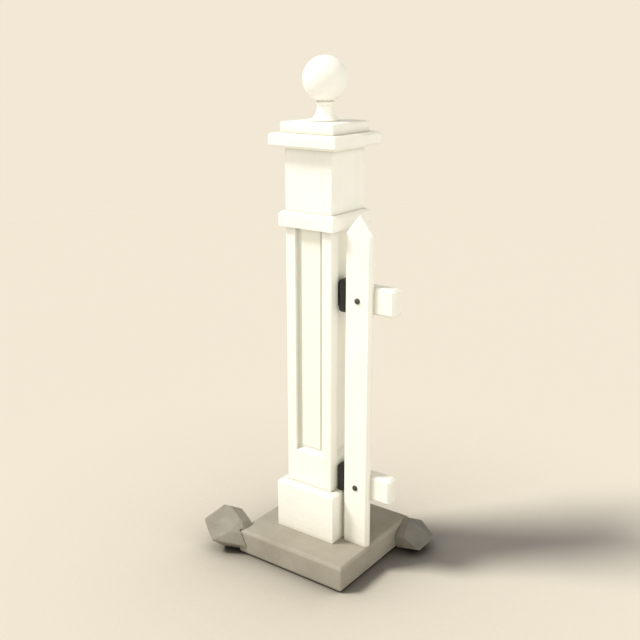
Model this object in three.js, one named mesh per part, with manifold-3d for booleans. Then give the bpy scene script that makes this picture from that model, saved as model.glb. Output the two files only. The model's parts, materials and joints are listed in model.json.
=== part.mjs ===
// A painted timber fence post on a stone pad. The square post has a sunk panel in each side, a plinth
// skirt, a neck collar and a stepped cap with a turned ball. Two stub rails in iron shoes carry the
// first picket of the fence. Two field stones steady the pad.
// Millimetres, +Z up. The origin is on the post's axis, at the pad's underside.
import * as THREE from "three";
import { mergeVertices } from "three/addons/utils/BufferGeometryUtils.js";
import Module from "manifold-3d";

const wasm = await Module();
wasm.setup();

// Driving dimensions. Heights are above the pad's top, unless a comment says otherwise.
const fitGap = 0.3;

const padSide = 360;
const padThick = 77;
const padBevel = 6.5;
const padShift = { x: 8, y: -7 };

const postSide = 150;
const postHeight = 1094.5;
const postArris = 1.5;

// A panel is a raised field with a deeper margin at its sides and its foot.
const stileWidth = 31;
const panelDepth = 11;
const panelFoot = 261;
const marginDepth = 13.5;
const marginWidth = 12;
const sillHeight = 244.5;
const sillRise = 8;

// A bevel runs around a moulding's top, and a foot bevel around its underside.
const plinth = { side: 194, height: 146, bevel: 6, footBevel: 0 };
const collar = { side: 177, height: 41, bevel: 7.5, footBevel: 0, foot: 887.5 };
const capPlate = { side: 212, height: 36.5, bevel: 6, footBevel: 6.5 };
const capBlock = { side: 167, height: 28, bevel: 4, footBevel: 0 };

// The finial's heights are above the cap block.
const ballRadius = 58.5;
const ballCentre = 105.5;
const stemFootRadius = 37;
const stemFootHeight = 3;
const waistRadius = 21;
const waistHeight = 37;
const beadRadius = 24;
const beadTop = 50;
const beadSlope = 5;
const beadEdge = 2;
const stemFlare = 8;
const waistPull = 18;
const turnedSides = 44;
const turnedSteps = 12;

const picketWidth = 81;
const picketThick = 16.5;
const picketShoulder = 884.8;
const picketTip = 934.8;
const picketLeft = 103.7;
const picketBack = -40;
const picketBevel = 6.5;

const railThick = 39.5;
const railHeight = 74.5;
const railBevel = 6.5;
const railEnd = 245.6;
const topRailFoot = 675;
const bottomRailFoot = 140.1;

// A shoe's head stands proud of the post, and its walls close around the rail's end.
const shoeReach = 26;
const shoeCheek = 5.9;
const shoeEnds = 7;
const shoeBack = 6;
const shoeCorner = 8;
const shoeBevel = 6;
const shoeSteps = 5;
const bossInset = 6;

const boltHeadRadius = 8;
const boltHeadHeight = 5;
const boltRim = 1;
const boltSides = 20;
const boltSteps = 4;
const boltShankRadius = 4;
const boltShankLength = 38;
const topBoltHeight = 710;
const bottomBoltHeight = 173;

// A field stone is a heart point and the flat faces around it. Each face has the direction it looks,
// as degrees around Z from +X and degrees above level, and its distance from the heart.
const leftStone = {
  heart: new THREE.Vector3(-205, -190, 57),
  faces: [
    { around: -69, above: 32, distance: 24.6 },
    { around: -58, above: 13, distance: 24.4 },
    { around: -58, above: 25, distance: 25.1 },
    { around: -70, above: -47, distance: 33.8 },
    { around: -126, above: -17, distance: 56.3 },
    { around: -174, above: 48, distance: 74.4 },
    { around: 102, above: 58, distance: 73.2 },
    { around: 20, above: 52, distance: 58 },
    { around: 0, above: 21.5, distance: 51 },
    { around: 80, above: 5, distance: 56 },
    { around: 110, above: -25, distance: 52 },
    { around: 200, above: -30, distance: 48 },
    { around: 140, above: 8, distance: 62 },
  ],
};
const rightStone = {
  heart: new THREE.Vector3(222, 140, 37),
  faces: [
    { around: -104, above: 61.5, distance: 40 },
    { around: -30, above: 53, distance: 28.9 },
    { around: 3, above: 64, distance: 32.9 },
    { around: -92, above: -14, distance: 45.1 },
    { around: -70, above: -59, distance: 40.8 },
    { around: 103, above: 60, distance: 47.6 },
    { around: 51, above: 34, distance: 46.8 },
    { around: 2, above: -36.5, distance: 44.6 },
    { around: 88, above: 12, distance: 50 },
    { around: 70, above: -30, distance: 44 },
    { around: 180, above: 0, distance: 33.5 },
  ],
};
const stoneReach = 90;

// Materials
const paint = () => new THREE.MeshStandardMaterial({ color: 0xf4f1e6, roughness: 0.45, metalness: 0 });
const iron = () => new THREE.MeshStandardMaterial({ color: 0x39342f, roughness: 0.5, metalness: 0.6 });
const steel = () => new THREE.MeshStandardMaterial({ color: 0x45433c, roughness: 0.4, metalness: 0.8 });
const stone = () => new THREE.MeshStandardMaterial({ color: 0xb0a592, roughness: 0.9, metalness: 0 });

// Solids are cut and joined as closed bodies, and then turned back into geometry.
function toSolid(geometry) {
  const bare = geometry.clone();
  bare.deleteAttribute("normal");
  bare.deleteAttribute("uv");
  const merged = mergeVertices(bare, 1e-3);
  const mesh = new wasm.Mesh({
    numProp: 3,
    vertProperties: merged.attributes.position.array,
    triVerts: new Uint32Array(merged.index.array),
  });
  return new wasm.Manifold(mesh);
}

function toGeometry(solid) {
  const mesh = solid.getMesh();
  const geometry = new THREE.BufferGeometry();
  geometry.setAttribute("position", new THREE.BufferAttribute(mesh.vertProperties, 3));
  geometry.setIndex(new THREE.BufferAttribute(mesh.triVerts, 1));
  const flat = geometry.toNonIndexed();
  flat.computeVertexNormals();
  return flat;
}

function boxFrom(min, max) {
  const size = new THREE.Vector3().subVectors(max, min);
  const centre = new THREE.Vector3().addVectors(min, max).multiplyScalar(0.5);
  return new THREE.BoxGeometry(size.x, size.y, size.z).translate(centre.x, centre.y, centre.z);
}

function part(name, geometry, material) {
  const mesh = new THREE.Mesh(geometry, material);
  mesh.name = name;
  return mesh;
}

// A square outline with its four corners cut back
function chamferedSquare(side, chamfer) {
  const half = side / 2;
  const inner = half - chamfer;
  const outline = new THREE.Shape();
  outline.moveTo(-inner, -half);
  outline.lineTo(inner, -half);
  outline.lineTo(half, -inner);
  outline.lineTo(half, inner);
  outline.lineTo(inner, half);
  outline.lineTo(-inner, half);
  outline.lineTo(-half, inner);
  outline.lineTo(-half, -inner);
  outline.closePath();
  return outline;
}

// A square block standing on z = 0, mitred at its corners from one profile
function bevelledBlock({ side, height, bevel, footBevel }) {
  const half = side / 2;
  const profile = new THREE.Path();
  profile.moveTo(0, 0);
  profile.lineTo(half - footBevel, 0);
  if (footBevel > 0) {
    profile.lineTo(half, footBevel);
  }
  profile.lineTo(half, height - bevel);
  profile.lineTo(half - bevel, height);
  profile.lineTo(0, height);
  const block = new THREE.LatheGeometry(profile.getPoints(1), 4);
  block.scale(Math.SQRT2, 1, Math.SQRT2);
  block.rotateY(Math.PI / 4).rotateX(Math.PI / 2);
  return toGeometry(toSolid(block));
}

// The pad and the field stones
function stoneSlab() {
  const slab = { side: padSide, height: padThick, bevel: padBevel, footBevel: 0 };
  return bevelledBlock(slab).translate(padShift.x, padShift.y, 0);
}

// Each flat face splits everything beyond it off a large block.
function fieldStone(described) {
  const { heart, faces } = described;
  const reach = new THREE.Vector3(stoneReach, stoneReach, stoneReach);
  let body = toSolid(boxFrom(heart.clone().sub(reach), heart.clone().add(reach)));
  for (const face of faces) {
    const tilt = new THREE.Euler(
      0,
      -THREE.MathUtils.degToRad(face.above),
      THREE.MathUtils.degToRad(face.around),
      "ZYX",
    );
    const offcut = new THREE.BoxGeometry(4 * stoneReach, 6 * stoneReach, 6 * stoneReach);
    offcut.translate(face.distance + 2 * stoneReach, 0, 0);
    offcut.applyMatrix4(new THREE.Matrix4().makeRotationFromEuler(tilt));
    offcut.translate(heart.x, heart.y, heart.z);
    body = body.subtract(toSolid(offcut));
  }
  const ground = boxFrom(
    new THREE.Vector3(-4 * stoneReach, -4 * stoneReach, -4 * stoneReach),
    new THREE.Vector3(4 * stoneReach, 4 * stoneReach, 0),
  );
  body = body.subtract(toSolid(ground));
  const half = padSide / 2 + fitGap;
  const padSpace = boxFrom(
    new THREE.Vector3(padShift.x - half, padShift.y - half, -padThick),
    new THREE.Vector3(padShift.x + half, padShift.y + half, padThick + fitGap),
  );
  return toGeometry(body.subtract(toSolid(padSpace)));
}

// The post: one square timber with four sunk panels. Each has a raised field, and a sill below it that
// slopes out to shed rain.
function postShaft() {
  const timber = new THREE.ExtrudeGeometry(chamferedSquare(postSide, postArris), {
    depth: postHeight,
    bevelEnabled: false,
  });
  const recess = new THREE.Shape();
  const outside = -stileWidth;
  recess.moveTo(outside, sillHeight);
  recess.lineTo(0, sillHeight);
  recess.lineTo(marginDepth, sillHeight + sillRise);
  recess.lineTo(marginDepth, collar.foot);
  recess.lineTo(outside, collar.foot);
  recess.closePath();
  const panelWidth = postSide - 2 * stileWidth;
  const cutter = new THREE.ExtrudeGeometry(recess, { depth: panelWidth, bevelEnabled: false });
  const inward = new THREE.Vector3(0, 1, 0);
  const upward = new THREE.Vector3(0, 0, 1);
  const across = new THREE.Vector3(1, 0, 0);
  cutter.applyMatrix4(new THREE.Matrix4().makeBasis(inward, upward, across));
  cutter.translate(-panelWidth / 2, -postSide / 2, 0);
  const fieldHalf = panelWidth / 2 - marginWidth;
  const field = boxFrom(
    new THREE.Vector3(-fieldHalf, panelDepth - postSide / 2, panelFoot),
    new THREE.Vector3(fieldHalf, 0, collar.foot + collar.height),
  );
  const hollow = toGeometry(toSolid(cutter).subtract(toSolid(field)));
  let body = toSolid(timber);
  for (let side = 0; side < 4; side += 1) {
    const turned = hollow.clone().rotateZ((side * Math.PI) / 2);
    body = body.subtract(toSolid(turned));
  }
  return toGeometry(body);
}

// A square moulding that the post passes through
function postRing(moulding) {
  const opening = postSide / 2 + fitGap;
  const through = boxFrom(
    new THREE.Vector3(-opening, -opening, -moulding.height),
    new THREE.Vector3(opening, opening, 2 * moulding.height),
  );
  return toGeometry(toSolid(bevelledBlock(moulding)).subtract(toSolid(through)));
}

// The finial, turned in one piece: a hollow stem curve, a bead and a ball
function ballFinial() {
  const ballStart = beadTop - ballCentre;
  const startAngle = Math.asin(ballStart / ballRadius);
  const profile = new THREE.Path();
  profile.moveTo(0, 0);
  profile.lineTo(stemFootRadius, 0);
  profile.lineTo(stemFootRadius, stemFootHeight);
  profile.bezierCurveTo(
    stemFootRadius - stemFlare,
    stemFootHeight + stemFlare,
    waistRadius,
    waistHeight - waistPull,
    waistRadius,
    waistHeight,
  );
  profile.lineTo(beadRadius, waistHeight + beadSlope);
  profile.lineTo(beadRadius, beadTop - beadEdge);
  profile.lineTo(ballRadius * Math.cos(startAngle), beadTop);
  profile.absarc(0, ballCentre, ballRadius, startAngle, Math.PI / 2, false);
  const points = profile.getPoints(turnedSteps);
  points[points.length - 1].x = 0;
  return new THREE.LatheGeometry(points, turnedSides).rotateX(Math.PI / 2);
}

// A dome-headed screw, pointing back along +Y from the picket's face at the origin
function domeBolt(grow) {
  const profile = new THREE.Path();
  const radius = boltShankRadius + grow;
  profile.moveTo(0, -boltShankLength - grow);
  profile.lineTo(radius, -boltShankLength - grow);
  profile.lineTo(radius, 0);
  profile.lineTo(boltHeadRadius, 0);
  profile.lineTo(boltHeadRadius, boltRim);
  profile.absellipse(0, boltRim, boltHeadRadius, boltHeadHeight - boltRim, 0, Math.PI / 2, false);
  const points = profile.getPoints(boltSteps);
  points[points.length - 1].x = 0;
  return new THREE.LatheGeometry(points, boltSides).rotateX(Math.PI);
}

const picketFace = picketBack - picketThick;
const boltLine = picketLeft + picketWidth / 2;

function boltHole(height) {
  return toSolid(domeBolt(fitGap).translate(boltLine, picketFace, height));
}

// The picket: a board with a two-sided point, bevelled around its face but not at its foot
function picketBoard() {
  const half = picketWidth / 2;
  const slope = (picketTip - picketShoulder) / half;
  const corners = [];
  for (const { inset, depth } of [
    { inset: 0, depth: picketBack },
    { inset: 0, depth: picketFace + picketBevel },
    { inset: picketBevel, depth: picketFace },
  ]) {
    const tip = picketTip - inset * Math.hypot(1, slope);
    const side = half - inset;
    corners.push([boltLine, depth, tip]);
    for (const x of [boltLine - side, boltLine + side]) {
      corners.push([x, depth, 0], [x, depth, tip - slope * side]);
    }
  }
  const board = wasm.Manifold.hull(corners);
  return toGeometry(board.subtract(boltHole(topBoltHeight)).subtract(boltHole(bottomBoltHeight)));
}

// A squared bar with all its edges bevelled
function bevelledBar(min, max, bevel) {
  const insets = [
    new THREE.Vector3(0, bevel, bevel),
    new THREE.Vector3(bevel, 0, bevel),
    new THREE.Vector3(bevel, bevel, 0),
  ];
  const boxes = insets.map((inset) => toSolid(boxFrom(min.clone().add(inset), max.clone().sub(inset))));
  return wasm.Manifold.hull(boxes);
}

const shoeFace = postSide / 2 + fitGap;
const panelFace = shoeFace - panelDepth;
const railStart = shoeFace + shoeBack + fitGap;

// Rails run out along +X behind the picket, from the back of their shoe. Grown by the fit gap, a rail
// is its shoe's socket.
function railBar(foot, grow) {
  const out = new THREE.Vector3(grow, grow, grow);
  const near = new THREE.Vector3(railStart, picketBack, foot);
  const far = new THREE.Vector3(railEnd, picketBack + railThick, foot + railHeight);
  return bevelledBar(near.sub(out), far.add(out), railBevel);
}

// The bottom rail is notched over the plinth.
function stubRail(foot, boltHeight) {
  const plinthEdge = plinth.side / 2 + fitGap;
  const notch = boxFrom(
    new THREE.Vector3(-plinthEdge, -plinthEdge, 0),
    new THREE.Vector3(plinthEdge, plinthEdge, plinth.height + fitGap),
  );
  const notched = railBar(foot, 0).subtract(toSolid(notch));
  return toGeometry(notched.subtract(boltHole(boltHeight)));
}

// A shoe: a rounded head with a blind socket for the rail. Where the post's side is sunk, a boss
// behind the head reaches back to its seat. The bottom shoe is cut off level over the plinth.
function railShoe(railFoot, seat) {
  const left = shoeFace + shoeCorner;
  const right = shoeFace + shoeReach - shoeCorner;
  const low = railFoot - shoeEnds + shoeCorner;
  const high = railFoot + railHeight + shoeEnds - shoeCorner;
  const outline = new THREE.Shape();
  outline.absarc(right, low, shoeCorner, -Math.PI / 2, 0, false);
  outline.absarc(right, high, shoeCorner, 0, Math.PI / 2, false);
  outline.absarc(left, high, shoeCorner, Math.PI / 2, Math.PI, false);
  outline.absarc(left, low, shoeCorner, Math.PI, 1.5 * Math.PI, false);
  outline.closePath();
  const inner = railThick + 2 * fitGap;
  const head = new THREE.ExtrudeGeometry(outline, {
    depth: inner + 2 * (shoeCheek - shoeBevel),
    bevelThickness: shoeBevel,
    bevelSize: shoeBevel,
    bevelOffset: -shoeBevel,
    bevelSegments: 1,
    curveSegments: shoeSteps,
  });
  const railBack = picketBack + railThick;
  head.rotateX(Math.PI / 2).translate(0, railBack + fitGap + shoeCheek - shoeBevel, 0);
  let body = toSolid(head);
  if (seat < shoeFace) {
    const bossTop = railFoot + railHeight - bossInset;
    const boss = boxFrom(
      new THREE.Vector3(seat, picketBack + bossInset, railFoot + bossInset),
      new THREE.Vector3(shoeFace + shoeBack, railBack - bossInset, bossTop),
    );
    body = body.add(toSolid(boss));
  }
  const overPlinth = boxFrom(
    new THREE.Vector3(0, -plinth.side, 0),
    new THREE.Vector3(railEnd, plinth.side, plinth.height + fitGap),
  );
  const socket = railBar(railFoot, fitGap);
  return toGeometry(body.subtract(toSolid(overPlinth)).subtract(socket));
}

const pad = new THREE.Group();
pad.add(part("stone_slab", stoneSlab(), stone()));
pad.add(part("footing_stone_left", fieldStone(leftStone), stone()));
pad.add(part("footing_stone_right", fieldStone(rightStone), stone()));

const post = new THREE.Group();
post.position.z = padThick;
post.add(part("post_shaft", postShaft(), paint()));
post.add(part("plinth_skirt", postRing(plinth), paint()));
const neckCollar = part("neck_collar", postRing(collar), paint());
neckCollar.position.z = collar.foot;
post.add(neckCollar);

const cap = new THREE.Group();
cap.position.z = postHeight;
cap.add(part("cap_plate", bevelledBlock(capPlate), paint()));
const upperBlock = part("cap_block", bevelledBlock(capBlock), paint());
upperBlock.position.z = capPlate.height;
cap.add(upperBlock);
const finial = part("ball_finial", ballFinial(), paint());
finial.position.z = capPlate.height + capBlock.height;
cap.add(finial);
post.add(cap);

const fence = new THREE.Group();
fence.add(part("picket", picketBoard(), paint()));
fence.add(part("top_rail", stubRail(topRailFoot, topBoltHeight), paint()));
fence.add(part("bottom_rail", stubRail(bottomRailFoot, bottomBoltHeight), paint()));
fence.add(part("top_bracket", railShoe(topRailFoot, panelFace), iron()));
fence.add(part("bottom_bracket", railShoe(bottomRailFoot, shoeFace), iron()));
for (const [name, height] of [
  ["picket_bolt_top", topBoltHeight],
  ["picket_bolt_bottom", bottomBoltHeight],
]) {
  const bolt = part(name, domeBolt(0), steel());
  bolt.position.set(boltLine, picketFace, height);
  fence.add(bolt);
}
post.add(fence);

const fencePost = new THREE.Group();
fencePost.name = "fence_post";
fencePost.add(pad);
fencePost.add(post);

export default fencePost;
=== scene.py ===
import json
import math

import bmesh
import bpy
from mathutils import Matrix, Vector
from mathutils.geometry import interpolate_bezier

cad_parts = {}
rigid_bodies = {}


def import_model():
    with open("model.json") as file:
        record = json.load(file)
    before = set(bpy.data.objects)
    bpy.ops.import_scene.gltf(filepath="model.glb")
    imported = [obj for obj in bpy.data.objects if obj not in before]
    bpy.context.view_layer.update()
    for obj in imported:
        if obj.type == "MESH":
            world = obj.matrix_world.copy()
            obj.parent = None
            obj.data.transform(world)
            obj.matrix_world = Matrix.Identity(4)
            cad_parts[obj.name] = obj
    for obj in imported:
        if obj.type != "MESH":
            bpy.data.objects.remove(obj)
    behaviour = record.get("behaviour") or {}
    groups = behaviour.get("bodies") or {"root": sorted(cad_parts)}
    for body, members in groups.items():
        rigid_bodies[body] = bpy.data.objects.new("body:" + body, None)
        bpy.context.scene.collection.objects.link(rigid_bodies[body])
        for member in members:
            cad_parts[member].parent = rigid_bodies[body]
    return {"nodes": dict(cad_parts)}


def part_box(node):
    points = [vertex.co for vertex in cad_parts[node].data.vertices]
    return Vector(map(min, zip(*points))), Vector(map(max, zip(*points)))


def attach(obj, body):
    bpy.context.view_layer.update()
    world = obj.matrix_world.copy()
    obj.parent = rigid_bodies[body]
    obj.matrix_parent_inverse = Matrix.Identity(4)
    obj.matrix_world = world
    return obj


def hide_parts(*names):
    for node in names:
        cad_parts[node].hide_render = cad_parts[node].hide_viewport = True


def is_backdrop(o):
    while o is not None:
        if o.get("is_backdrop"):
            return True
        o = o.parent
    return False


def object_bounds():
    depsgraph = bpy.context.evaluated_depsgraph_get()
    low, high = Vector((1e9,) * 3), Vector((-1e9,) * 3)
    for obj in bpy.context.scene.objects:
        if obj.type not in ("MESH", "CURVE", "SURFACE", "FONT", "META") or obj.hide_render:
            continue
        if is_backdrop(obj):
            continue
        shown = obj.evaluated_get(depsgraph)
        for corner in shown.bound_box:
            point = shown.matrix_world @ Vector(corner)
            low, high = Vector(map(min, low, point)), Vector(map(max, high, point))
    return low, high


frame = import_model()
cad_low, cad_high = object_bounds()


# Stone pad
# A square slab of warm grey stone that the post stands on. It is sawn flat with chamfered arrises, the
# lower ones too, and years outdoors have rounded and nicked them.
PAD_SKIN = 0.0024
PAD_SEED = 3.0
PAD_FOOT_BEVEL = 0.0080
PAD_WEAR = {"Wear": 0.45, "Wear Passes": 3, "Nick Size": 0.016}
PAD_LUMPS = {"Lump Depth": 0.0005, "Lump Size": 0.045, "Grain Depth": 0.00025, "Grain Size": 0.008}
PAD_MOTTLE_SIZE = 0.11
PAD_BODY = (0.355, 0.326, 0.276, 1)
PAD_SHADE = (0.295, 0.269, 0.222, 1)
PAD_FLECK = (0.465, 0.434, 0.376, 1)
STONE_FLECK_SIZE = 0.0035
STONE_FLECK_SHARE = 0.55
STONE_EDGE_SHARE = 0.35
STONE_SPECULAR = 0.3
STONE_BUMP = {"Strength": 0.5, "Distance": 0.0008}
MERGE_WITHIN = 2e-6
SHORTEST_EDGE = 1e-6
FLAT_WITHIN = math.radians(0.5)
GROUND_WITHIN = 0.0001


def socket_named(sockets, name):
    """The socket in use that has this name, or this place in the row."""
    if isinstance(name, int):
        return sockets[name]
    return next(socket for socket in sockets if socket.name == name and socket.enabled)


def add_node(tree, kind, inputs=None, **settings):
    """A node with its settings, its input values and the sockets that feed it."""
    made = tree.nodes.new(kind)
    for name, value in settings.items():
        setattr(made, name, value)
    for name, value in (inputs or {}).items():
        target = socket_named(made.inputs, name)
        if isinstance(value, bpy.types.NodeSocket):
            tree.links.new(value, target)
        else:
            target.default_value = value
    return made


def calculate(tree, operation, first, second):
    """The result of a sum on two numbers or sockets."""
    return add_node(tree, "ShaderNodeMath", {0: first, 1: second}, operation=operation).outputs[0]


def rescale(tree, value, low=0.0, high=1.0, to_low=0.0, to_high=1.0, **settings):
    """A value's run from low to high, brought onto the run from to_low to to_high and held there."""
    inputs = {"Value": value, "From Min": low, "From Max": high, "To Min": to_low, "To Max": to_high}
    return add_node(tree, "ShaderNodeMapRange", inputs, **settings).outputs["Result"]


def mix_colour(tree, share, first, second):
    """A blend from the first colour to the second."""
    made = add_node(tree, "ShaderNodeMix", {"Factor": share, "A": first, "B": second}, data_type="RGBA")
    return socket_named(made.outputs, "Result")


def add_sockets(tree, direction, **kinds):
    """Named sockets on a node group, with underscores in the names shown as spaces."""
    for name, kind in kinds.items():
        tree.interface.new_socket(name.replace("_", " "), in_out=direction, socket_type="NodeSocket" + kind)


def give_nodes(piece, tree, values):
    """Puts a geometry tree on a piece and sets its inputs by their identifiers."""
    modifier = piece.modifiers.new(tree.name, "NODES")
    modifier.node_group = tree
    for item in tree.interface.items_tree:
        if item.item_type == "SOCKET" and item.in_out == "INPUT" and item.name in values:
            modifier[item.identifier] = values[item.name]


def settle(piece):
    """Turns a piece's modifiers into a plain mesh."""
    graph = bpy.context.evaluated_depsgraph_get()
    mesh = bpy.data.meshes.new_from_object(
        piece.evaluated_get(graph), preserve_all_data_layers=True, depsgraph=graph
    )
    piece.modifiers.clear()
    piece.data = mesh
    mesh.name = piece.name


def new_piece(name, mesh):
    piece = bpy.data.objects.new(name, mesh)
    bpy.context.collection.objects.link(piece)
    return piece


def merged_copy(node, name):
    """A new piece with a solid's shape, its loose triangles merged into whole flat faces."""
    source = frame["nodes"][node].data
    mesh = bpy.data.meshes.new(name)
    mesh.from_pydata([v.co for v in source.vertices], [], [p.vertices for p in source.polygons])
    shell = bmesh.new()
    shell.from_mesh(mesh)
    bmesh.ops.remove_doubles(shell, verts=shell.verts, dist=MERGE_WITHIN)
    bmesh.ops.dissolve_degenerate(shell, edges=shell.edges, dist=SHORTEST_EDGE)
    bmesh.ops.dissolve_limit(shell, angle_limit=FLAT_WITHIN, verts=shell.verts, edges=shell.edges)
    shell.to_mesh(mesh)
    shell.free()
    return new_piece(name, mesh)


def weathered_stone_tree():
    """Wears a stone's edges back unevenly, raises low lumps and grain, and cuts it level at Ground."""
    tree = bpy.data.node_groups.new("weathered_stone", "GeometryNodeTree")
    add_sockets(
        tree,
        "INPUT",
        Geometry="Geometry",
        Wear="Float",
        Wear_Passes="Int",
        Nick_Size="Float",
        Lump_Depth="Float",
        Lump_Size="Float",
        Grain_Depth="Float",
        Grain_Size="Float",
        Ground="Float",
        Seed="Float",
        Stone="Material",
    )
    add_sockets(tree, "OUTPUT", Geometry="Geometry")
    given = add_node(tree, "NodeGroupInput").outputs

    def noise_of(size, shift):
        inputs = {
            "Scale": calculate(tree, "DIVIDE", 1.0, size),
            "W": calculate(tree, "ADD", given["Seed"], shift),
            "Detail": 3.0,
        }
        return add_node(tree, "ShaderNodeTexNoise", inputs, noise_dimensions="4D").outputs[0]

    def raised(size, depth, shift):
        centred = calculate(tree, "SUBTRACT", noise_of(size, shift), 0.5)
        return calculate(tree, "MULTIPLY", centred, calculate(tree, "MULTIPLY", depth, 2.0))

    def moved(geometry, **places):
        return add_node(tree, "GeometryNodeSetPosition", {"Geometry": geometry, **places}).outputs["Geometry"]

    place = add_node(tree, "GeometryNodeInputPosition").outputs[0]
    rounded = add_node(
        tree,
        "GeometryNodeBlurAttribute",
        {"Value": place, "Iterations": given["Wear Passes"]},
        data_type="FLOAT_VECTOR",
    )
    worn_back = add_node(
        tree,
        "ShaderNodeVectorMath",
        {0: socket_named(rounded.outputs, "Value"), 1: place},
        operation="SUBTRACT",
    ).outputs[0]
    depth = add_node(tree, "ShaderNodeVectorMath", {0: worn_back}, operation="LENGTH").outputs["Value"]
    edge = rescale(tree, depth, low=0.0001, high=0.0012)
    marked = add_node(
        tree,
        "GeometryNodeStoreNamedAttribute",
        {"Geometry": given["Geometry"], "Name": "arris", "Value": edge},
        data_type="FLOAT",
        domain="POINT",
    ).outputs["Geometry"]
    nicks = noise_of(given["Nick Size"], 1.0)
    patchy = rescale(tree, nicks, low=0.35, high=0.68, to_low=0.2, to_high=2.0)
    amount = calculate(tree, "MULTIPLY", patchy, given["Wear"])
    step_back = add_node(tree, "ShaderNodeVectorMath", {0: worn_back, "Scale": amount}, operation="SCALE")
    worn = moved(marked, Offset=step_back.outputs[0])
    lumps = raised(given["Lump Size"], given["Lump Depth"], 5.0)
    grain = raised(given["Grain Size"], given["Grain Depth"], 9.0)
    relief = calculate(tree, "ADD", lumps, grain)
    outward = add_node(tree, "GeometryNodeInputNormal").outputs[0]
    lift = add_node(tree, "ShaderNodeVectorMath", {0: outward, "Scale": relief}, operation="SCALE")
    rough = moved(worn, Offset=lift.outputs[0])
    along = add_node(tree, "ShaderNodeSeparateXYZ", {"Vector": place}).outputs
    level = calculate(tree, "MAXIMUM", along["Z"], given["Ground"])
    stood = add_node(tree, "ShaderNodeCombineXYZ", {"X": along["X"], "Y": along["Y"], "Z": level})
    bedded = moved(rough, Position=stood.outputs[0])
    smooth = add_node(tree, "GeometryNodeSetShadeSmooth", {"Geometry": bedded})
    real = add_node(tree, "GeometryNodeRealizeInstances", {"Geometry": smooth.outputs["Geometry"]})
    coated = add_node(
        tree,
        "GeometryNodeSetMaterial",
        {"Geometry": real.outputs["Geometry"], "Material": given["Stone"]},
    )
    add_node(tree, "NodeGroupOutput", {"Geometry": coated.outputs["Geometry"]})
    return tree


def stone_grain_group():
    """Mottling, pale flecks and grain of a close-grained stone, from a place in metres."""
    tree = bpy.data.node_groups.new("stone_grain", "ShaderNodeTree")
    add_sockets(tree, "INPUT", Place="Vector", Mottle_Size="Float", Fleck_Size="Float")
    add_sockets(tree, "OUTPUT", Mottle="Float", Fleck="Float", Height="Float")
    given = add_node(tree, "NodeGroupInput").outputs

    def noise_of(size, detail, roughness):
        inputs = {
            "Vector": given["Place"],
            "Scale": calculate(tree, "DIVIDE", 1.0, size),
            "Detail": detail,
            "Roughness": roughness,
        }
        return add_node(tree, "ShaderNodeTexNoise", inputs).outputs[0]

    clouds = noise_of(given["Mottle Size"], detail=6.0, roughness=0.62)
    specks = noise_of(given["Fleck Size"], detail=2.0, roughness=0.5)
    add_node(
        tree,
        "NodeGroupOutput",
        {
            "Mottle": rescale(tree, clouds, low=0.34, high=0.66),
            "Fleck": rescale(tree, specks, low=0.60, high=0.74),
            "Height": calculate(tree, "ADD", clouds, specks),
        },
    )
    return tree


stone_grain = stone_grain_group()
weathered_stone = weathered_stone_tree()


def bare_material(name):
    """A new material, with its tree, its surface and each point's place on the piece."""
    material = bpy.data.materials.new(name)
    material.use_nodes = True
    tree = material.node_tree
    place = add_node(tree, "ShaderNodeTexCoord").outputs["Object"]
    return material, tree, tree.nodes["Principled BSDF"], place


def marked_share(tree, mark):
    """How far a point belongs to what a mesh attribute marks."""
    return add_node(tree, "ShaderNodeAttribute", attribute_name=mark).outputs["Fac"]


def coat_surface(tree, surface, tone, roughness, height, bump):
    """Gives a surface its colour, its roughness and its fine relief."""
    tree.links.new(tone, surface.inputs["Base Color"])
    tree.links.new(roughness, surface.inputs["Roughness"])
    relief = add_node(tree, "ShaderNodeBump", {"Height": height, **bump})
    tree.links.new(relief.outputs["Normal"], surface.inputs["Normal"])


def stone_material(name, body, shade, fleck, mottle_size):
    """Close-grained stone, paler on its flecks and its worn edges."""
    material, tree, surface, place = bare_material(name)
    grain = add_node(
        tree,
        "ShaderNodeGroup",
        {"Place": place, "Mottle Size": mottle_size, "Fleck Size": STONE_FLECK_SIZE},
        node_tree=stone_grain,
    ).outputs
    flecked = calculate(tree, "MULTIPLY", grain["Fleck"], STONE_FLECK_SHARE)
    paler = calculate(tree, "MULTIPLY", marked_share(tree, "arris"), STONE_EDGE_SHARE)
    tone = mix_colour(tree, grain["Mottle"], shade, body)
    tone = mix_colour(tree, flecked, tone, fleck)
    tone = mix_colour(tree, paler, tone, fleck)
    rough = rescale(tree, grain["Mottle"], to_low=0.92, to_high=0.78)
    coat_surface(tree, surface, tone, rough, grain["Height"], STONE_BUMP)
    surface.inputs["Specular IOR Level"].default_value = STONE_SPECULAR
    return material


def bevel_foot(piece, size):
    """Cuts a bevel around a stone's underside."""
    shell = bmesh.new()
    shell.from_mesh(piece.data)
    on_ground = {vert for vert in shell.verts if vert.co.z < cad_low.z + GROUND_WITHIN}
    foot = [edge for edge in shell.edges if on_ground.issuperset(edge.verts)]
    bmesh.ops.bevel(shell, geom=foot, offset=size, segments=1, profile=0.5, affect="EDGES")
    shell.to_mesh(piece.data)
    shell.free()


def weather(piece, skin, seed, material, *shapes):
    """Gives a stone an even skin, worn edges and a rough face."""
    even = piece.modifiers.new("even_skin", "REMESH")
    even.mode = "VOXEL"
    even.voxel_size = skin
    values = {"Ground": cad_low.z, "Seed": seed, "Stone": material}
    for shape in shapes:
        values.update(shape)
    give_nodes(piece, weathered_stone, values)
    settle(piece)


def finish_piece(piece, slot, *nodes):
    """The piece stands for its solids and rides with them. The slot argument is not used."""
    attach(piece, "root")
    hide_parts(*nodes)


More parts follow.
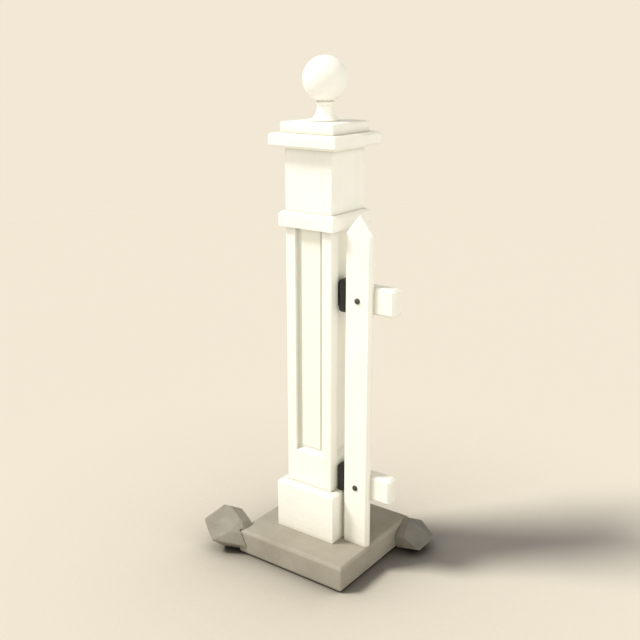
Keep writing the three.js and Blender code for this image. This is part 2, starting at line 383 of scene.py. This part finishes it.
pad_stone = stone_material("pad_stone", PAD_BODY, PAD_SHADE, PAD_FLECK, PAD_MOTTLE_SIZE)
pad = merged_copy("stone_slab", "pad")
bevel_foot(pad, PAD_FOOT_BEVEL)
weather(pad, PAD_SKIN, PAD_SEED, pad_stone, PAD_WEAR, PAD_LUMPS)
finish_piece(pad, "pad_stone", "stone_slab")


# Field stones
# Two split field stones, wedged against the pad to steady it. Their broad flat faces are cleavage
# planes, rougher than the sawn pad, with edges knocked round.
FIELD_SKIN = 0.0018
FIELD_SEEDS = {"left": 11.0, "right": 17.0}
FIELD_WEAR = {"Wear": 0.45, "Wear Passes": 3, "Nick Size": 0.012}
FIELD_LUMPS = {"Lump Depth": 0.0007, "Lump Size": 0.035, "Grain Depth": 0.0004, "Grain Size": 0.007}
FIELD_MOTTLE_SIZE = 0.06
FIELD_BODY = (0.400, 0.366, 0.303, 1)
FIELD_SHADE = (0.300, 0.274, 0.221, 1)
FIELD_FLECK = (0.510, 0.476, 0.408, 1)

field_stone = stone_material("field_stone", FIELD_BODY, FIELD_SHADE, FIELD_FLECK, FIELD_MOTTLE_SIZE)
for side, seed in FIELD_SEEDS.items():
    node = "footing_stone_" + side
    boulder = merged_copy(node, "field_stone_" + side)
    weather(boulder, FIELD_SKIN, seed, field_stone, FIELD_WEAR, FIELD_LUMPS)
    finish_piece(boulder, "field_stone", node)


# Post
# One square timber with a sunk panel in each side, raised in its middle. It is brushed white along the
# grain, the panels a shade creamier, and its arrises are eased so that the paint holds on them.
POST_EASE = 0.0012
PANEL_SUNK = 0.011
PANEL_WITHIN = 0.0005
UPRIGHT_WITHIN = 0.01
SHARP_ABOVE = math.radians(20)
EASE_STEPS = 3
PAINT_WHITE = (0.910, 0.900, 0.850, 1)
PANEL_CREAM = (0.905, 0.895, 0.790, 1)
PAINT_THIN = (0.875, 0.860, 0.800, 1)
PAINT_EDGE_SHARE = 0.5
PAINT_SPECULAR = 0.4
PAINT_BUMP = {"Strength": 0.18, "Distance": 0.0005}
# Splashed dust and painted shade near the pad share one tone, reach and share.
SPLASH_AND_SHADE_TONE = (0.640, 0.580, 0.470, 1)
SPLASH_AND_SHADE_REACH = 0.13
SPLASH_AND_SHADE_SHARE = 0.32
# Tone and reach of the shade painted into the paint's corners and recesses.
CORNER_SHADE_TONE = (0.600, 0.590, 0.510, 1)
CORNER_SHADE_REACH = 0.018
UPRIGHT_STROKES = (160, 160, 5)


def brushed_coat_group():
    """Brush strokes and the grain under them. Strokes is a place stretched along the brush's way."""
    tree = bpy.data.node_groups.new("brushed_coat", "ShaderNodeTree")
    add_sockets(tree, "INPUT", Strokes="Vector", Place="Vector")
    add_sockets(tree, "OUTPUT", Thin="Float", Roughness="Float", Height="Float")
    given = add_node(tree, "NodeGroupInput").outputs
    bristle = add_node(
        tree,
        "ShaderNodeTexNoise",
        {"Vector": given["Strokes"], "Scale": 1.0, "Detail": 4.0, "Roughness": 0.6},
    ).outputs[0]
    grain = add_node(
        tree,
        "ShaderNodeTexNoise",
        {"Vector": given["Strokes"], "Scale": 0.28, "Detail": 3.0, "Distortion": 1.2},
    ).outputs[0]
    clouds = add_node(
        tree,
        "ShaderNodeTexNoise",
        {"Vector": given["Place"], "Scale": 11.0, "Detail": 4.0, "Roughness": 0.6},
    ).outputs[0]
    uneven = calculate(tree, "ADD", clouds, bristle)
    add_node(
        tree,
        "NodeGroupOutput",
        {
            "Thin": rescale(tree, uneven, low=0.85, high=1.25),
            "Roughness": rescale(tree, bristle, low=0.3, high=0.7, to_low=0.42, to_high=0.56),
            "Height": calculate(tree, "ADD", bristle, grain),
        },
    )
    return tree


def splash_and_shade_group():
    """A mask of rain-splashed dust and painted shade, full at Level and thinning out over Reach above it."""
    tree = bpy.data.node_groups.new("splash_and_shade", "ShaderNodeTree")
    add_sockets(tree, "INPUT", Place="Vector", Level="Float", Reach="Float")
    add_sockets(tree, "OUTPUT", Mask="Float")
    given = add_node(tree, "NodeGroupInput").outputs
    up = add_node(tree, "ShaderNodeSeparateXYZ", {"Vector": given["Place"]}).outputs["Z"]
    above = calculate(tree, "SUBTRACT", up, given["Level"])
    share = calculate(tree, "DIVIDE", above, given["Reach"])
    drops = add_node(
        tree,
        "ShaderNodeTexNoise",
        {"Vector": given["Place"], "Scale": 85.0, "Detail": 5.0, "Roughness": 0.65},
    ).outputs[0]
    uneven = calculate(tree, "ADD", share, drops)
    mask = rescale(tree, uneven, low=0.45, high=1.3, to_low=1.0, to_high=0.0)
    add_node(tree, "NodeGroupOutput", {"Mask": mask})
    return tree


def painted_corner_shade_group():
    """A mask of painted shade, laid where surfaces meet in a corner, out to Reach from it."""
    tree = bpy.data.node_groups.new("painted_corner_shade", "ShaderNodeTree")
    add_sockets(tree, "INPUT", Reach="Float")
    add_sockets(tree, "OUTPUT", Mask="Float")
    given = add_node(tree, "NodeGroupInput").outputs
    open_sky = add_node(tree, "ShaderNodeAmbientOcclusion", {"Distance": given["Reach"]}, samples=8)
    mask = rescale(tree, open_sky.outputs["AO"], low=0.35, high=0.95, to_low=1.0, to_high=0.0)
    add_node(tree, "NodeGroupOutput", {"Mask": mask})
    return tree


brushed_coat = brushed_coat_group()
splash_and_shade = splash_and_shade_group()
painted_corner_shade = painted_corner_shade_group()


def paint_material(name, strokes):
    """White brush paint on timber. Strokes gives how fast the brush marks change along X, Y and Z."""
    material, tree, surface, place = bare_material(name)
    stretched = add_node(tree, "ShaderNodeMapping", {"Vector": place, "Scale": strokes})
    coat = add_node(
        tree,
        "ShaderNodeGroup",
        {"Strokes": stretched.outputs["Vector"], "Place": place},
        node_tree=brushed_coat,
    ).outputs
    pad_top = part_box("stone_slab")[1].z
    splash_and_shade_mask = add_node(
        tree,
        "ShaderNodeGroup",
        {"Place": place, "Level": pad_top, "Reach": SPLASH_AND_SHADE_REACH},
        node_tree=splash_and_shade,
    ).outputs
    corner_shade = add_node(tree, "ShaderNodeGroup", {"Reach": CORNER_SHADE_REACH}, node_tree=painted_corner_shade).outputs
    drawn = calculate(tree, "MULTIPLY", marked_share(tree, "arris"), PAINT_EDGE_SHARE)
    splash_and_shade_share = calculate(tree, "MULTIPLY", splash_and_shade_mask["Mask"], SPLASH_AND_SHADE_SHARE)
    tone = mix_colour(tree, marked_share(tree, "panel"), PAINT_WHITE, PANEL_CREAM)
    tone = mix_colour(tree, coat["Thin"], tone, PAINT_THIN)
    tone = mix_colour(tree, drawn, tone, PAINT_THIN)
    # Painted shade: the paint is darkened in corners and recesses, where shade falls.
    tone = mix_colour(tree, corner_shade["Mask"], tone, CORNER_SHADE_TONE)
    # Splashed dust and painted shade together: the paint darkens towards the pad.
    tone = mix_colour(tree, splash_and_shade_share, tone, SPLASH_AND_SHADE_TONE)
    coat_surface(tree, surface, tone, coat["Roughness"], coat["Height"], PAINT_BUMP)
    surface.inputs["Specular IOR Level"].default_value = PAINT_SPECULAR
    return material


def mark_panels(shell):
    """Marks the raised field of each sunk panel of the post."""
    mark = shell.faces.layers.float.new("panel")
    field_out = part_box("post_shaft")[1].x - PANEL_SUNK
    for face in shell.faces:
        out = face.calc_center_median().dot(face.normal)
        if abs(face.normal.z) < UPRIGHT_WITHIN and abs(out - field_out) < PANEL_WITHIN:
            face[mark] = 1.0


def eased_piece(node, name, ease, material, mark_faces=None):
    """A piece with a solid's form and every sharp arris rounded. The rounds are marked as arris."""
    piece = merged_copy(node, name)
    shell = bmesh.new()
    shell.from_mesh(piece.data)
    if mark_faces:
        mark_faces(shell)
    mark = shell.faces.layers.float.new("arris")
    sharp = [
        edge
        for edge in shell.edges
        if len(edge.link_faces) == 2 and edge.calc_face_angle() > SHARP_ABOVE
    ]
    rounds = bmesh.ops.bevel(
        shell,
        geom=sharp,
        offset=ease,
        offset_type="OFFSET",
        segments=EASE_STEPS,
        profile=0.5,
        affect="EDGES",
        clamp_overlap=True,
    )
    for face in rounds["faces"]:
        face[mark] = 1.0
    bmesh.ops.remove_doubles(shell, verts=shell.verts, dist=MERGE_WITHIN)
    bmesh.ops.dissolve_degenerate(shell, edges=shell.edges, dist=MERGE_WITHIN)
    for face in shell.faces:
        face.smooth = True
    shell.to_mesh(piece.data)
    shell.free()
    piece.data.materials.append(material)
    flat = piece.modifiers.new("flat_faces", "WEIGHTED_NORMAL")
    flat.weight = 100
    settle(piece)
    return piece


paint_upright = paint_material("white_paint_upright", UPRIGHT_STROKES)
post = eased_piece("post_shaft", "post", POST_EASE, paint_upright, mark_panels)
finish_piece(post, "white_paint", "post_shaft")


# Plinth skirt, neck collar and cap
# Square mouldings of painted timber: the skirt around the foot, the collar above the panels, and
# the cap plate with its smaller block. Their grain and their brush strokes run level.
MOULDING_EASE = 0.0010
LEVEL_STROKES = (5, 5, 160)

paint_level = paint_material("white_paint_level", LEVEL_STROKES)
for node, name in (
    ("plinth_skirt", "plinth_moulding"),
    ("neck_collar", "neck_moulding"),
    ("cap_plate", "cap_moulding"),
    ("cap_block", "cap_moulding_top"),
):
    moulding = eased_piece(node, name, MOULDING_EASE, paint_level)
    finish_piece(moulding, "white_paint", node)


# Ball finial
# Turned from one piece of timber: a foot, a hollow stem, a bead and a ball. It is fixed on the cap block
# and painted with the rest.
TURNED_SIDES = 96
TURNED_SHARP = math.radians(40)
FOOT_RADIUS = 0.037
FOOT_LIP = 0.003
FOOT_CHAMFER = 0.001
STEM_FLARE = 0.008
STEM_STEPS = 24
WAIST_RADIUS = 0.021
WAIST_HEIGHT = 0.037
WAIST_PULL = 0.018
BEAD_RADIUS = 0.024
BEAD_FOOT = 0.041
BEAD_TOP = 0.0505
BEAD_STEPS = 12
BALL_RADIUS = 0.0585
BALL_STEPS = 64


def finial_profile():
    """Radius and height of the turning from foot to crown, above the cap block."""
    low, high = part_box("ball_finial")
    foot_z = low.z
    ball_z = high.z - BALL_RADIUS
    profile = [
        Vector((0, 0, foot_z)),
        Vector((FOOT_RADIUS - FOOT_CHAMFER, 0, foot_z)),
        Vector((FOOT_RADIUS, 0, foot_z + FOOT_CHAMFER)),
    ]
    lip = Vector((FOOT_RADIUS, 0, foot_z + FOOT_LIP))
    waist = Vector((WAIST_RADIUS, 0, foot_z + WAIST_HEIGHT))
    pull_in = Vector((-STEM_FLARE, 0, STEM_FLARE))
    pull_down = Vector((0, 0, -WAIST_PULL))
    profile += interpolate_bezier(lip, lip + pull_in, waist + pull_down, waist, STEM_STEPS)
    bead_z = foot_z + (BEAD_FOOT + BEAD_TOP) / 2
    bead_half = (BEAD_TOP - BEAD_FOOT) / 2
    for step in range(BEAD_STEPS + 1):
        turn = math.pi * (step / BEAD_STEPS - 0.5)
        round_out = (BEAD_RADIUS - WAIST_RADIUS) * math.cos(turn)
        profile.append(Vector((WAIST_RADIUS + round_out, 0, bead_z + bead_half * math.sin(turn))))
    start = -math.acos(WAIST_RADIUS / BALL_RADIUS)
    for step in range(1, BALL_STEPS + 1):
        turn = start + (math.pi / 2 - start) * step / BALL_STEPS
        profile.append(Vector((BALL_RADIUS * math.cos(turn), 0, ball_z + BALL_RADIUS * math.sin(turn))))
    profile[-1].x = 0
    return profile


def turned_piece(name, profile, sides, material):
    """A closed turning around the post's axis, from a profile that starts and ends on the axis."""
    foot, *rings, crown = profile
    points = []
    for ring in rings:
        for side in range(sides):
            turn = math.tau * side / sides
            points.append(Vector((ring.x * math.cos(turn), ring.x * math.sin(turn), ring.z)))
    top_ring = len(points) - sides
    foot_at, crown_at = len(points), len(points) + 1
    faces = []
    for side in range(sides):
        after = (side + 1) % sides
        faces.append((foot_at, after, side))
        for ring in range(0, top_ring, sides):
            faces.append((ring + side, ring + after, ring + sides + after, ring + sides + side))
        faces.append((crown_at, top_ring + side, top_ring + after))
    mesh = bpy.data.meshes.new(name)
    mesh.from_pydata(points + [foot, crown], [], faces)
    mesh.shade_smooth()
    mesh.materials.append(material)
    mesh.set_sharp_from_angle(angle=TURNED_SHARP)
    return new_piece(name, mesh)


finial = turned_piece("finial", finial_profile(), TURNED_SIDES, paint_level)
finish_piece(finial, "white_paint", "ball_finial")


# Rails
# Two short lengths of planed timber with bevelled edges, ends included. Each is housed in its shoe on
# the post, and the brush strokes run along it.
RAIL_EASE = 0.0012
RAIL_STROKES = (5, 160, 160)

paint_along = paint_material("white_paint_along", RAIL_STROKES)
for node in ("top_rail", "bottom_rail"):
    rail = eased_piece(node, node + "_timber", RAIL_EASE, paint_along)
    finish_piece(rail, "white_paint", node)


# Picket
# One flat board with a two-sided point and bevelled front edges, screwed to the front of both rails. It
# is painted upright.
PICKET_EASE = 0.0012

picket = eased_piece("picket", "picket_board", PICKET_EASE, paint_upright)
finish_piece(picket, "white_paint", "picket")


# Rail shoes
# Two black castings on the post's side, each with a socket for a rail's end. They are painted satin
# black over a cast skin, and handling has thinned the paint on the rounds.
SHOE_EASE = 0.0012
SHOE_BLACK = (0.018, 0.016, 0.016, 1)
SHOE_BARE = (0.080, 0.076, 0.072, 1)
SHOE_SKIN_SIZE = 0.0016
SHOE_ROUGHNESS = 0.55
BLACK_METALLIC = 0.15
BLACK_BUMP = {"Strength": 0.35, "Distance": 0.0004}
ROUGHNESS_SWING = 0.1


def black_metal(name, coat, bare, skin_size, roughness):
    """A black coat over metal, dusty in patches and rubbed through on the rounds."""
    material, tree, surface, place = bare_material(name)
    skin = add_node(
        tree,
        "ShaderNodeTexNoise",
        {"Vector": place, "Scale": 1 / skin_size, "Detail": 4.0, "Roughness": 0.6},
    ).outputs[0]
    patches = add_node(
        tree, "ShaderNodeTexNoise", {"Vector": place, "Scale": 90.0, "Detail": 4.0}
    ).outputs[0]
    dusty = rescale(tree, patches, low=0.3, high=0.8, to_high=0.3)
    chipped = rescale(tree, patches, low=0.42, high=0.62)
    rubbed = calculate(tree, "MULTIPLY", marked_share(tree, "arris"), chipped)
    tone = mix_colour(tree, dusty, coat, bare)
    tone = mix_colour(tree, rubbed, tone, bare)
    rough = rescale(
        tree, skin, to_low=roughness - ROUGHNESS_SWING, to_high=roughness + ROUGHNESS_SWING
    )
    coat_surface(tree, surface, tone, rough, skin, BLACK_BUMP)
    surface.inputs["Metallic"].default_value = BLACK_METALLIC
    return material


black_iron = black_metal("black_iron", SHOE_BLACK, SHOE_BARE, SHOE_SKIN_SIZE, SHOE_ROUGHNESS)
for node in ("top_bracket", "bottom_bracket"):
    shoe = eased_piece(node, node.split("_")[0] + "_shoe", SHOE_EASE, black_iron)
    finish_piece(shoe, "black_iron", node)


# Picket screws
# Dome-headed screws of blackened steel, one through the picket into each rail. The head's flat underside
# bears on the picket's face.
HEAD_RADIUS = 0.008
HEAD_HEIGHT = 0.005
HEAD_RIM = 0.001
HEAD_SIDES = 40
HEAD_RINGS = 24
SHANK_RADIUS = 0.004
SHANK_SIDES = 24
STEEL_BLACK = (0.045, 0.044, 0.039, 1)
STEEL_BARE = (0.150, 0.145, 0.135, 1)
STEEL_SKIN_SIZE = 0.0009
STEEL_ROUGHNESS = 0.38


def dome_screw_tree():
    """Puts one screw on each point, its dome towards -Y and its shank along +Y."""
    tree = bpy.data.node_groups.new("dome_screws", "GeometryNodeTree")
    add_sockets(
        tree,
        "INPUT",
        Geometry="Geometry",
        Head_Radius="Float",
        Head_Height="Float",
        Rim="Float",
        Shank_Radius="Float",
        Shank_Length="Float",
        Steel="Material",
    )
    add_sockets(tree, "OUTPUT", Geometry="Geometry")
    given = add_node(tree, "NodeGroupInput").outputs
    ball = add_node(
        tree, "GeometryNodeMeshUVSphere", {"Segments": HEAD_SIDES, "Rings": HEAD_RINGS, "Radius": 1.0}
    )
    place = add_node(tree, "GeometryNodeInputPosition").outputs[0]
    parts = add_node(tree, "ShaderNodeSeparateXYZ", {"Vector": place}).outputs
    dome_height = calculate(tree, "SUBTRACT", given["Head Height"], given["Rim"])
    crown = calculate(tree, "MULTIPLY", parts["Z"], dome_height)
    crown = calculate(tree, "ADD", crown, given["Rim"])
    domed = add_node(
        tree,
        "ShaderNodeCombineXYZ",
        {
            "X": calculate(tree, "MULTIPLY", parts["X"], given["Head Radius"]),
            "Y": calculate(tree, "MULTIPLY", parts["Y"], given["Head Radius"]),
            "Z": calculate(tree, "MAXIMUM", crown, 0.0),
        },
    )
    head = add_node(
        tree,
        "GeometryNodeSetPosition",
        {"Geometry": ball.outputs["Mesh"], "Position": domed.outputs[0]},
    )
    smooth = add_node(tree, "GeometryNodeSetShadeSmooth", {"Geometry": head.outputs["Geometry"]})
    shank = add_node(
        tree,
        "GeometryNodeMeshCylinder",
        {"Vertices": SHANK_SIDES, "Radius": given["Shank Radius"], "Depth": given["Shank Length"]},
    )
    half_down = calculate(tree, "MULTIPLY", given["Shank Length"], -0.5)
    down = add_node(tree, "ShaderNodeCombineXYZ", {"Z": half_down}).outputs[0]
    hung = add_node(
        tree, "GeometryNodeTransform", {"Geometry": shank.outputs["Mesh"], "Translation": down}
    )
    screw = add_node(tree, "GeometryNodeJoinGeometry")
    tree.links.new(smooth.outputs["Geometry"], screw.inputs[0])
    tree.links.new(hung.outputs["Geometry"], screw.inputs[0])
    faced = add_node(
        tree,
        "GeometryNodeTransform",
        {"Geometry": screw.outputs["Geometry"], "Rotation": (math.radians(90), 0, 0)},
    )
    placed = add_node(
        tree,
        "GeometryNodeInstanceOnPoints",
        {"Points": given["Geometry"], "Instance": faced.outputs["Geometry"]},
    )
    real = add_node(tree, "GeometryNodeRealizeInstances", {"Geometry": placed.outputs["Instances"]})
    coated = add_node(
        tree,
        "GeometryNodeSetMaterial",
        {"Geometry": real.outputs["Geometry"], "Material": given["Steel"]},
    )
    add_node(tree, "NodeGroupOutput", {"Geometry": coated.outputs["Geometry"]})
    return tree


black_steel = black_metal("black_steel", STEEL_BLACK, STEEL_BARE, STEEL_SKIN_SIZE, STEEL_ROUGHNESS)
screw_nodes = ("picket_bolt_top", "picket_bolt_bottom")
picket_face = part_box("picket")[0].y
seats = []
for node in screw_nodes:
    low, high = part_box(node)
    seats.append(Vector(((low.x + high.x) / 2, picket_face, (low.z + high.z) / 2)))
seat_mesh = bpy.data.meshes.new("picket_screws")
seat_mesh.from_pydata(seats, [], [])
screws = new_piece("picket_screws", seat_mesh)
give_nodes(
    screws,
    dome_screw_tree(),
    {
        "Head Radius": HEAD_RADIUS,
        "Head Height": HEAD_HEIGHT,
        "Rim": HEAD_RIM,
        "Shank Radius": SHANK_RADIUS,
        "Shank Length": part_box(screw_nodes[0])[1].y - picket_face,
        "Steel": black_steel,
    },
)
settle(screws)
finish_piece(screws, "bolt_steel", *screw_nodes)


# Floor, light and camera
# A plain warm floor, with shade painted darker into it where the pad shuts it in, runs out into a backdrop of
# the same tone. A soft key stands at the left, a weak fill at the right, and a broad overhead light spares
# floor and stones.
BACKDROP = (0.887, 0.807, 0.665, 1)
FLOOR_TONE = (0.865, 0.792, 0.668, 1)
# The floor's painted shade: its colour where it is shut in by the pad and post.
FLOOR_PAINTED_SHADE = (0.030, 0.025, 0.020, 1)
FLOOR_SHADE_REACH = 1.1
FLOOR_SHADE_FALL = 1.5
FLOOR_RADIUS = 9.0
FLOOR_SIDES = 128
FADE_START = 1.8
FADE_END = 8.5
HAZE_LIGHT = (1.065, 1.050, 0.966, 1)
SKY_LIGHT = (0.140, 0.145, 0.175, 1)
HAZE_FOOT = 0.15
HAZE_TOP = 0.60
KEY_AROUND = -50.0
KEY_ABOVE = 50.0
KEY_POWER = 3.0
KEY_SPREAD = 16.0
KEY_TINT = (1.0, 0.985, 0.930)
FILL_AROUND = 68.0
FILL_ABOVE = 8.0
FILL_POWER = 0.30
FILL_SPREAD = 44.0
FILL_TINT = (0.90, 1.0, 1.0)
OVERHEAD_AROUND = 60.0
OVERHEAD_ABOVE = 62.0
OVERHEAD_POWER = 1.2
OVERHEAD_SPREAD = 100.0
OVERHEAD_TINT = (1.0, 0.90, 0.65)
EYE_AROUND = 35.98
EYE_ABOVE = 16.99
EYE_DISTANCE = 2.4967
EYE_SLIDE = -0.01327
AIM_HEIGHT = 0.6968
FOCAL_LENGTH = 50.85
SENSOR_WIDTH = 36.0
SIGHT_REACH = 100.0

scene = bpy.context.scene
scene.view_settings.view_transform = "Standard"
scene.view_settings.look = "None"

floor_mesh = bpy.data.meshes.new("floor")
shell = bmesh.new()
bmesh.ops.create_circle(shell, cap_ends=True, segments=FLOOR_SIDES, radius=FLOOR_RADIUS)
shell.to_mesh(floor_mesh)
shell.free()
floor = new_piece("floor", floor_mesh)
floor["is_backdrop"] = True
floor_paint, tree, surface, place = bare_material("floor_paint")
# Painted shade: the floor's colour darkens by occlusion near the pad and post, where shade falls.
open_ground = add_node(tree, "ShaderNodeAmbientOcclusion", {"Distance": FLOOR_SHADE_REACH}, samples=16)
openness = calculate(tree, "POWER", open_ground.outputs["AO"], FLOOR_SHADE_FALL)
floor_tone = mix_colour(tree, openness, FLOOR_PAINTED_SHADE, FLOOR_TONE)
tree.links.new(floor_tone, surface.inputs["Base Color"])
reach = add_node(tree, "ShaderNodeVectorMath", {0: place}, operation="LENGTH").outputs["Value"]
fade = rescale(
    tree,
    reach,
    low=FADE_START,
    high=FADE_END,
    to_low=1.0,
    to_high=0.0,
    interpolation_type="SMOOTHERSTEP",
)
tree.links.new(fade, surface.inputs["Alpha"])
surface.inputs["Roughness"].default_value = 1.0
surface.inputs["Specular IOR Level"].default_value = 0.0
floor_mesh.materials.append(floor_paint)

world = bpy.data.worlds.new("backdrop")
world.use_nodes = True
scene.world = world
tree = world.node_tree
tree.nodes.clear()
seen = add_node(tree, "ShaderNodeBackground", {"Color": BACKDROP, "Strength": 1.0})
ray = add_node(tree, "ShaderNodeTexCoord").outputs["Generated"]
climb = add_node(tree, "ShaderNodeSeparateXYZ", {"Vector": ray}).outputs["Z"]
clear = rescale(tree, climb, low=HAZE_FOOT, high=HAZE_TOP)
sky = mix_colour(tree, clear, HAZE_LIGHT, SKY_LIGHT)
cast = add_node(tree, "ShaderNodeBackground", {"Color": sky, "Strength": 1.0})
path = add_node(tree, "ShaderNodeLightPath")
either = add_node(
    tree,
    "ShaderNodeMixShader",
    {0: path.outputs["Is Camera Ray"], 1: cast.outputs[0], 2: seen.outputs[0]},
)
add_node(tree, "ShaderNodeOutputWorld", {"Surface": either.outputs[0]})


def direction(around, above):
    """A unit vector that points at a place, by degrees around Z from -Y and degrees above level."""
    turn, lift = math.radians(around), math.radians(above)
    return Vector((math.sin(turn) * math.cos(lift), -math.cos(turn) * math.cos(lift), math.sin(lift)))


def far_light(name, around, above, power, spread, colour):
    light = bpy.data.lights.new(name, "SUN")
    light.energy = power
    light.angle = math.radians(spread)
    light.color = colour
    lamp = bpy.data.objects.new(name, light)
    lamp.rotation_mode = "QUATERNION"
    lamp.rotation_quaternion = direction(around, above).to_track_quat("Z", "Y")
    bpy.context.collection.objects.link(lamp)
    return lamp


far_light("key", KEY_AROUND, KEY_ABOVE, KEY_POWER, KEY_SPREAD, KEY_TINT)
far_light("fill", FILL_AROUND, FILL_ABOVE, FILL_POWER, FILL_SPREAD, FILL_TINT)
overhead = far_light(
    "overhead", OVERHEAD_AROUND, OVERHEAD_ABOVE, OVERHEAD_POWER, OVERHEAD_SPREAD, OVERHEAD_TINT
)
low_finishes = (field_stone, floor_paint)
built_up = bpy.data.collections.new("built_up")
for piece in scene.objects:
    if piece.type == "MESH" and piece.active_material not in low_finishes:
        built_up.objects.link(piece)
overhead.light_linking.receiver_collection = built_up

camera = bpy.data.objects.new("camera", bpy.data.cameras.new("camera"))
camera.data.sensor_width = SENSOR_WIDTH
camera.data.lens = FOCAL_LENGTH
camera.data.clip_end = SIGHT_REACH
back = direction(EYE_AROUND, EYE_ABOVE)
across = Vector((math.cos(math.radians(EYE_AROUND)), math.sin(math.radians(EYE_AROUND)), 0))
camera.location = Vector((0, 0, AIM_HEIGHT)) + across * EYE_SLIDE + back * EYE_DISTANCE
camera.rotation_mode = "QUATERNION"
camera.rotation_quaternion = back.to_track_quat("Z", "Y")
bpy.context.collection.objects.link(camera)
scene.camera = camera

low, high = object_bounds()
